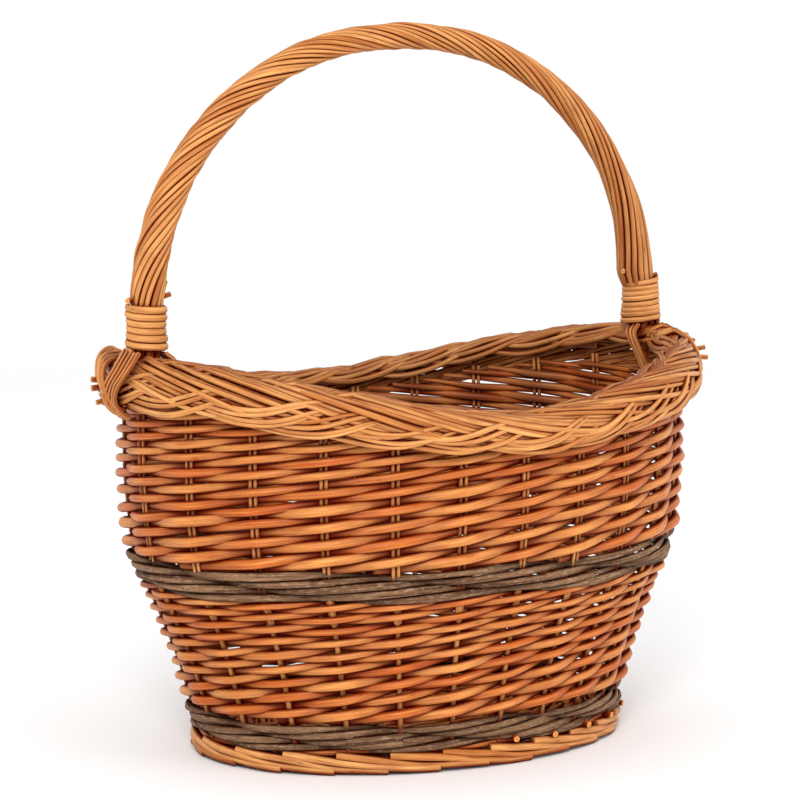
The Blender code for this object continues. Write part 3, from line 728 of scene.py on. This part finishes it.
def build_rim():
    """From each stake a bundle of rods goes inside, comes over the border and is plaited along it."""
    pieces = [Bunch(f"rim_rods_{letter}") for letter in "abcd"]
    steps = np.linspace(RIM_WAY[0, 0], RIM_WAY[-1, 0], RIM_POINTS)
    place, depth, width = (softened(np.interp(steps, RIM_WAY[:, 0], RIM_WAY[:, column]), 2)
                           for column in (1, 2, 3))
    slope = np.gradient(place, steps) * RIM_FACE / RIM_STAKE_GAP
    fan = np.hypot(1, slope)
    tucking = RIM_TILE * np.interp(steps, [3.2, 3.8, 5.6, 6.2], [0, 1, 1, 0])
    thinning = np.interp(steps, [0, 6, 8.2], [1.06, 1.0, 0.8])
    # Painted shade on the border's inner face
    inner_face = 0.40 * np.clip((place - 0.12) / 0.3, 0, 1)
    for bundle in range(STAKES):
        lean = RANDOM.normal(0, 0.10)
        sag = RANDOM.normal(0, 0.035)
        for rod in range(RIM_RODS):
            shift = (rod - (RIM_RODS - 1) / 2) * 2.02 * RIM_ROD_RADIUS * width
            u = bundle + lean + steps - shift * slope / fan / RIM_STAKE_GAP + RANDOM.normal(0, 0.09)
            across = place + shift / fan / RIM_FACE + wander(RIM_POINTS, 0.023) + sag
            sunk = np.maximum(depth + wander(RIM_POINTS, STRAY_BORDER) + rod * tucking, -0.0016)
            line, outward = rim_place(u, across, sunk)
            radius = RIM_ROD_RADIUS * RANDOM.normal(1.0, 0.10) * thinning
            # Painted shade on the inner face and where a rod sinks under the others
            shade = np.maximum(inner_face, 0.5 * np.clip(sunk / 0.006, 0, 1))
            pieces[bundle * 4 // STAKES].add(line, radius, outward, shade=shade)
    for number, piece in enumerate(pieces):
        piece.build(PEELED, ["rim_border"] if number == 0 else [], "light_willow")


# ---- Handle ----

BOW_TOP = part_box("handle_bow")[1].z
BIND_LOW, BIND_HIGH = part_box("handle_binding_left")
HALF_SPAN = (BIND_HIGH.x - BIND_LOW.x) / 2 - BIND_HIGH.x
ARCH_BASE = 0.2685  # the height at which the arms begin to lean inwards
ARCH_TOP = BOW_TOP - 0.0042
FULLNESS = 2.10  # 2 is a half ellipse, more is squarer


def arch_line(bottom, count=220):
    """The handle's centre line from -X over the top to +X, evenly spaced, and its running length."""
    turn = np.linspace(np.pi, 0, 400)
    x = HALF_SPAN * np.sign(np.cos(turn)) * np.abs(np.cos(turn)) ** (2 / FULLNESS)
    z = ARCH_BASE + (ARCH_TOP - ARCH_BASE) * np.abs(np.sin(turn)) ** (2 / FULLNESS)
    x = np.concatenate([[-HALF_SPAN], x, [HALF_SPAN]])
    z = np.concatenate([[bottom], z, [bottom]])
    length = np.concatenate([[0], np.cumsum(np.hypot(np.diff(x), np.diff(z)))])
    even = np.linspace(0, length[-1], count)
    line = np.stack([np.interp(even, length, x), np.zeros(count), np.interp(even, length, z)], axis=1)
    return line, even


# The handle's outer radius and its shift inwards, by height
HANDLE_LEFT = np.array([
    (0.235, 0.0092, 0), (0.262, 0.0094, 0), (0.282, 0.0096, 0), (0.290, 0.0103, 0), (0.310, 0.0103, 0),
    (0.335, 0.0103, 0), (0.365, 0.0097, 0), (0.400, 0.0090, 0), (0.4435, 0.0082, 0)])
HANDLE_RIGHT = np.array([
    (0.235, 0.0092, 0.0005), (0.262, 0.0094, 0.0005), (0.278, 0.0098, 0.0012), (0.290, 0.0119, 0.0036),
    (0.310, 0.0109, 0.0026), (0.333, 0.0099, 0.0013), (0.355, 0.0091, 0.0010), (0.400, 0.0088, 0.0010),
    (0.4435, 0.0082, 0)])


def handle_reading(line, column):
    """One column of the two tables above, along the handle's centre line."""
    left = np.interp(line[:, 2], HANDLE_LEFT[:, 0], HANDLE_LEFT[:, column])
    right = np.interp(line[:, 2], HANDLE_RIGHT[:, 0], HANDLE_RIGHT[:, column])
    return np.where(line[:, 0] < 0, left, right)


# How fast the roping turns along the handle: (share of its length, rate)
TURN_RATE = np.array([(0, 0.2), (0.04, 0.3), (0.10, 1.0), (0.5, 1.0), (0.62, 0.75), (0.80, 0.5),
                      (0.95, 0.1), (1.0, 0.05)])
ROPE_PACKING = 0.955 * 1.06  # how closely the rods fill the way round
STRAY_ROPE = 0.00025
# A leg rod under a binding: its distances from the handle's centre line, and its heights from the
# roping's lower end
LEG_REACH = np.array([0.0058, 0.0064, 0.0060, 0.0035])
LEG_HEIGHTS = (0.010, -0.003, -0.012, -0.022)
LEG_BOTTOM = 0.165  # the bow's legs go down into the weave to here


def build_roping():
    """Long rods twisted round the bow, which is hidden in them down to its legs in the weave."""
    piece = Bunch("handle_rope_rods")
    bottom = BIND_LOW.z + 0.002
    line, length = arch_line(bottom)
    outer = handle_reading(line, 1)
    line[:, 0] -= np.sign(line[:, 0]) * handle_reading(line, 2)
    share = length / length[-1]
    along = np.gradient(line, axis=0)
    along /= np.linalg.norm(along, axis=1, keepdims=True)
    outward = np.stack([-along[:, 2], np.zeros(len(line)), along[:, 0]], axis=1)
    front = np.array([0.0, -1.0, 0.0])
    turned = np.cumsum(reading(TURN_RATE, share))
    turned *= 2 * np.pi * ROPE_TURNS / turned[-1]
    pack = np.pi * ROPE_PACKING / ROPE_RODS
    radius = outer * pack / (1 + pack)
    dusk = np.interp(share, [0.58, 0.75, 0.95], [0.0, 0.14, 0.22])
    for number in range(ROPE_RODS):
        size = RANDOM.normal(1.0, 0.06)
        angle = turned + 2 * np.pi * number / ROPE_RODS + wander(len(line), 0.035, 5)
        reach = outer - radius + wander(len(line), STRAY_ROPE, 5)
        centre = line + outward * (reach * np.cos(angle))[:, None] + front * (reach * np.sin(angle))[:, None]
        piece.add(centre, radius * size, centre - line, shade=dusk)
    names = [f"handle_rope_bunch_{number}" for number in range(1, 5)]
    piece.build(PEELED, names, "light_willow")
    bow = Bunch("handle_bow_rod")
    # The bow and the rods of its legs get painted shade: they lie inside the roping, under the bindings and
    # down in the weave
    bow.add(line, np.maximum(outer - 2.2 * radius, 0.003), [0, 1, 0], tone=0.2, shade=0.6)
    for side in (-1, 1):
        for leg in range(LEG_RODS):
            angle = 2 * np.pi * (leg + 0.25 + RANDOM.normal(0, 0.06)) / LEG_RODS
            x = side * HALF_SPAN + LEG_REACH * np.cos(angle)
            y = LEG_REACH * np.sin(angle)
            z = [bottom + height for height in LEG_HEIGHTS]
            bow.add(smooth_curve(np.stack([x, y, z], axis=1), 12), LEG_RADIUS, [side, 0, 0], shade=0.15)
    for side in (-1, 1):
        u = nearest_u(side, 0.0)
        leg, facing = on_wall(u, np.linspace(LEG_BOTTOM, bottom + 0.002, 20), 0.0)
        bow.add(leg, np.linspace(0.0018, 0.0036, 20), facing, tone=0.2, shade=0.3)
    bow.build(BUFF, ["handle_bow"], "willow_stick")


STRAY_BINDING = 0.00035


def build_binding(word, side, turns, top_reach, low_reach):
    """One flattened rod wound round and round the handle's end."""
    low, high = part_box(f"handle_binding_{word}")
    piece = Bunch(f"binding_{word}")
    pitch = (high.z - low.z - 0.001) / (turns + 1)
    steps = np.linspace(-0.05, turns + 0.05, turns * 32)
    angle = 2 * np.pi * steps
    reach = np.linspace(low_reach, top_reach, len(steps)) + wander(len(steps), STRAY_BINDING, 6)
    x = side * (HALF_SPAN + reach * np.cos(angle))
    y = reach * np.sin(angle)
    z = low.z - BINDING_DROP + pitch / 2 + pitch * steps + wander(len(steps), STRAY_ROPE, 6)
    z += 0.0007 * np.sin(angle + turns)
    line = np.stack([x, y, z], axis=1)
    facing = np.stack([side * np.cos(angle), np.sin(angle), 0 * angle], axis=1)
    piece.add(line, pitch * 0.47, facing, flat=0.84, tone=0.75)
    piece.build(PEELED, [f"handle_binding_{word}"], "light_willow")


# The lashings' ways: (distance out from the handle's centre line along the basket, y, height above
# the border's lower edge, spread of the rods)
OUTER_LASHING = {
    -1: [(0.0120, -0.0050, 0.0350, 2.0), (0.0180, -0.0095, 0.0300, 2.0), (0.0225, -0.0110, 0.0247, 1.9),
         (0.0250, -0.0080, 0.0190, 1.8), (0.0258, -0.0040, 0.0140, 1.7), (0.0258, -0.0015, 0.0085, 1.6),
         (0.0245, -0.0010, 0.0035, 1.4), (0.0210, -0.0015, -0.0010, 1.2), (0.0150, -0.0020, -0.0045, 1.0)],
    1: [(0.0095, -0.0040, 0.0335, 1.20), (0.0165, -0.0080, 0.0290, 1.10), (0.0235, -0.0120, 0.0220, 1.0),
        (0.0255, -0.0150, 0.0130, 0.95), (0.0245, -0.0160, 0.0050, 0.9), (0.0210, -0.0160, -0.0015, 0.8),
        (0.0140, -0.0150, -0.0045, 0.8)]}
INNER_LASHING = [(-0.0080, -0.0050, 0.0335, 1.7), (-0.0130, -0.0080, 0.0280, 1.6),
                 (-0.0110, -0.0130, 0.0170, 1.5), (-0.0080, -0.0170, 0.0060, 1.3),
                 (-0.0060, -0.0190, -0.0030, 1.2)]
OUTER_RODS, INNER_RODS = 5, 3
LASHING_SPACING = 1.85  # from rod to rod, in radii


def build_lashings():
    """Rods from each binding over the border, down its outer face and down its inner one."""
    for word, side in (("left", -1), ("right", 1)):
        low = float(rim_low([nearest_u(side, 0.0)])[0])
        both = (("outer", OUTER_LASHING[side], OUTER_RODS), ("inner", INNER_LASHING, INNER_RODS))
        for place, way, rods in both:
            piece = Bunch(f"lashing_{word}_{place}_rods")
            way = np.array(way)
            x = side * (HALF_SPAN + way[:, 0])
            for rod in range(rods):
                spread = (rod - (rods - 1) / 2) * LASHING_SPACING * LASHING_RADIUS * way[:, 3]
                line = smooth_curve(np.stack([x, way[:, 1] + spread, low + way[:, 2]], axis=1), 40)
                line += wander(40, 0.0004)[:, None]
                piece.add(line, LASHING_RADIUS * RANDOM.normal(1.0, 0.08), [side, 0, 0.3])
            piece.build(PEELED, [f"lashing_{word}_{place}"], "light_willow")


# Cut ends that stand out: (start, end, radius)
CUT_ENDS = [
    ((-0.1960, 0.0180, 0.2365), (-0.2078, 0.0198, 0.2383), 0.0018),
    ((-0.1960, 0.0200, 0.2335), (-0.2070, 0.0213, 0.2325), 0.0019),
    ((-0.1960, 0.0180, 0.2250), (-0.2048, 0.0195, 0.2240), 0.0016),
    ((-0.1880, 0.0010, 0.2868), (-0.1925, -0.0010, 0.2862), 0.0018),
    ((-0.1700, -0.0030, 0.2880), (-0.1652, -0.0040, 0.2895), 0.0016),
    ((-0.1700, -0.0030, 0.2885), (-0.1672, -0.0030, 0.2975), 0.0008),
    ((0.1700, -0.0020, 0.2890), (0.1640, -0.0030, 0.2898), 0.0018),
    ((0.1860, -0.0020, 0.2850), (0.1905, -0.0040, 0.2868), 0.0017),
    ((0.1950, -0.0280, 0.2430), (0.1965, -0.0290, 0.2495), 0.0015),
    ((0.1960, -0.0330, 0.2400), (0.1985, -0.0345, 0.2460), 0.0014),
    ((0.1930, -0.0430, 0.2400), (0.1992, -0.0460, 0.2412), 0.0015),
    ((0.1930, -0.0450, 0.2350), (0.1998, -0.0480, 0.2347), 0.0016),
    ((0.1920, -0.0400, 0.2300), (0.1990, -0.0430, 0.2293), 0.0014)]
# Rods that cross the border at its right end: (stakes from the end, lean)
CROSSING_RODS = [(-0.95, 0.55), (-0.88, 0.62), (-0.80, 0.60), (-0.45, 0.40)]
# Their way over the border: (share of the rod, place on the section), (share, depth)
CROSSING_PLACE = np.array([(0, 0.35), (0.2, 0.05), (1, -1.08)])
CROSSING_DEPTH = np.array([(0, 0.0015), (0.2, -0.0012), (0.75, -0.0014), (1, 0.0025)])
# Rods that loop round the border's left end, behind the lashing: points of their middle line
LEFT_LOOP = [(-0.1800, 0.0345, 0.2490), (-0.1880, 0.0305, 0.2515), (-0.1978, 0.0230, 0.2497),
             (-0.2036, 0.0155, 0.2430), (-0.2046, 0.0100, 0.2350), (-0.2020, 0.0060, 0.2280),
             (-0.1950, 0.0040, 0.2235)]
LOOP_SPREAD = np.array([0.0012, 0.0050, 0.0016])  # from one of them to the next
LOOP_RODS = 4


def build_cut_ends():
    """Blunt ends and a few crossing rods that were pushed in when the border was finished."""
    piece = Bunch("cut_ends_and_crossing_rods")
    for start, end, radius in CUT_ENDS:
        piece.add(np.linspace(start, end, 6), radius, [0, 0, 1], tone=0.35)
    end_u = nearest_u(1, 0.0)
    for stakes, lean in CROSSING_RODS:
        steps = np.linspace(0, 1, 26)
        place = reading(CROSSING_PLACE, steps)
        depth = reading(CROSSING_DEPTH, steps)
        line, outward = rim_place(end_u + stakes - lean * steps, place, depth)
        piece.add(line + wander(26, STRAY_BORDER)[:, None], RIM_ROD_RADIUS, outward)
    for rod in range(LOOP_RODS):
        move = (rod - (LOOP_RODS - 1) / 2) * LOOP_SPREAD
        line = smooth_curve(np.array(LEFT_LOOP) + move, 40) + wander(40, 0.0006)[:, None]
        piece.add(line, RIM_ROD_RADIUS, [-1, 0, 0.3])
    piece.build(PEELED, [], "light_willow")


# ---- Put together ----

LOWER_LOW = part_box("lower_siding")[0].z
UPPER_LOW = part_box("upper_siding")[0].z
MIDDLE_LOW, MIDDLE_TOP = (corner.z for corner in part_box("middle_wale"))
BOTTOM_LOW, BOTTOM_TOP = (corner.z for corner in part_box("bottom_wale"))
BOTTOM_DARKENING = 0.28  # the bottom wale is a little darker all over
TIGHT = 0.0010  # the middle wale and the upper siding meet this tightly

build_foot()
build_stake_butts()
build_base()
build_stakes(MIDDLE_LOW)
build_wale("bottom", BOTTOM_LOW, BOTTOM_TOP, BOTTOM_WALE_RADIUS, STAKE_SINGLE_RADIUS,
           "bottom_wale", BOTTOM_DARKENING)
build_siding("lower", LOWER_LOW, LOWER_BUTT, LOWER_TIP, LOWER_LAYERS, STAKE_SINGLE_RADIUS,
             ["lower_siding"])
build_wale("middle", MIDDLE_LOW, MIDDLE_TOP + TIGHT, MIDDLE_WALE_RADIUS, STAKE_SINGLE_RADIUS,
           "middle_wale", 0.0)
build_siding("upper", UPPER_LOW - TIGHT, UPPER_BUTT, UPPER_TIP, UPPER_LAYERS, STAKE_PAIR_RADIUS,
             ["upper_siding"])
build_rim()
build_roping()
build_binding("left", -1, 6, 0.0110, 0.0112)
build_binding("right", 1, 8, 0.0106, 0.0122)
build_lashings()
build_cut_ends()


# ---- Floor, light and camera ----

CAMERA_AZIMUTH, CAMERA_ELEVATION, CAMERA_ROLL = -29.92, 6.363, -0.4375
CAMERA_DISTANCE = 1.9109
CAMERA_SIDE, CAMERA_HEIGHT = -0.0035, 0.2146  # the point it looks at
CAMERA_LENS, CAMERA_SENSOR = 135.8, 36.0
WHITE = (1.0, 1.0, 1.0, 1.0)
PAPER_COLOUR = (0.93, 0.93, 0.93, 1.0)
# The floor, away from the camera: it starts here, begins to curve up there, and ends as high as that
FLOOR_START, FLOOR_BEND, FLOOR_RADIUS, FLOOR_TOP = -5.0, 2.2, 1.6, 4.0
FLOOR_HALF_WIDTH = 5.0


def build_stage():
    """A floor that curves up into a backdrop far behind, so there is no horizon."""
    turns = [math.radians(angle) for angle in range(0, 91, 6)]
    curve = [(FLOOR_BEND + FLOOR_RADIUS * math.sin(turn), FLOOR_RADIUS - FLOOR_RADIUS * math.cos(turn))
             for turn in turns]
    profile = [(FLOOR_START, 0.0)] + curve + [(FLOOR_BEND + FLOOR_RADIUS, FLOOR_TOP)]
    azimuth = math.radians(CAMERA_AZIMUTH)
    away = Vector((-math.sin(azimuth), math.cos(azimuth), 0.0))
    side = Vector((math.cos(azimuth), math.sin(azimuth), 0.0))
    points = [away * distance + side * reach + Vector((0, 0, height))
              for distance, height in profile for reach in (-FLOOR_HALF_WIDTH, FLOOR_HALF_WIDTH)]
    faces = [(row, row + 1, row + 3, row + 2) for row in range(0, len(points) - 2, 2)]
    mesh = bpy.data.meshes.new("floor")
    mesh.from_pydata(points, [], faces)
    mesh.shade_smooth()
    floor = bpy.data.objects.new("floor", mesh)
    bpy.context.scene.collection.objects.link(floor)
    paper = bpy.data.materials.new("pale_floor")
    paper.use_nodes = True
    shader = paper.node_tree.nodes["Principled BSDF"]
    shader.inputs["Base Color"].default_value = PAPER_COLOUR
    shader.inputs["Roughness"].default_value = 0.9
    mesh.materials.append(paper)
    world = bpy.data.worlds.new("studio")
    bpy.context.scene.world = world
    world.use_nodes = True
    world.node_tree.nodes["Background"].inputs["Color"].default_value = WHITE
    world.node_tree.nodes["Background"].inputs["Strength"].default_value = 1.0


def area_light(name, place, target, size, power):
    """A round soft lamp that points at the target."""
    data = bpy.data.lights.new(name, "AREA")
    data.energy = power
    data.shape = "DISK"
    data.size = size
    light = bpy.data.objects.new(name, data)
    light.location = place
    light.rotation_euler = (Vector(place) - Vector(target)).to_track_quat("Z", "Y").to_euler()
    bpy.context.scene.collection.objects.link(light)


def build_camera():
    """A long lens a little above the rim's height, turned slightly about its own axis."""
    azimuth, elevation, roll = (math.radians(angle)
                                for angle in (CAMERA_AZIMUTH, CAMERA_ELEVATION, CAMERA_ROLL))
    back = Vector((math.sin(azimuth) * math.cos(elevation), -math.cos(azimuth) * math.cos(elevation),
                   math.sin(elevation)))
    target = Vector((CAMERA_SIDE * math.cos(azimuth), CAMERA_SIDE * math.sin(azimuth), CAMERA_HEIGHT))
    right = back.cross(Vector((0, 0, -1))).normalized()
    up = back.cross(right)
    across = right * math.cos(roll) + up * math.sin(roll)
    above = up * math.cos(roll) - right * math.sin(roll)
    data = bpy.data.cameras.new("camera")
    data.sensor_width = CAMERA_SENSOR
    data.lens = CAMERA_LENS
    camera = bpy.data.objects.new("camera", data)
    turn = Matrix((across, above, back)).transposed().to_4x4()
    camera.matrix_world = Matrix.Translation(target + back * CAMERA_DISTANCE) @ turn
    bpy.context.scene.collection.objects.link(camera)
    bpy.context.scene.camera = camera


build_stage()
BASKET_MIDDLE = (0, 0, 0.2)
area_light("key", (-1.3, -1.9, 1.5), BASKET_MIDDLE, size=0.8, power=34)
area_light("fill", (1.2, -1.9, 0.7), BASKET_MIDDLE, size=1.2, power=10)
build_camera()
bpy.context.scene.view_settings.view_transform = "Standard"
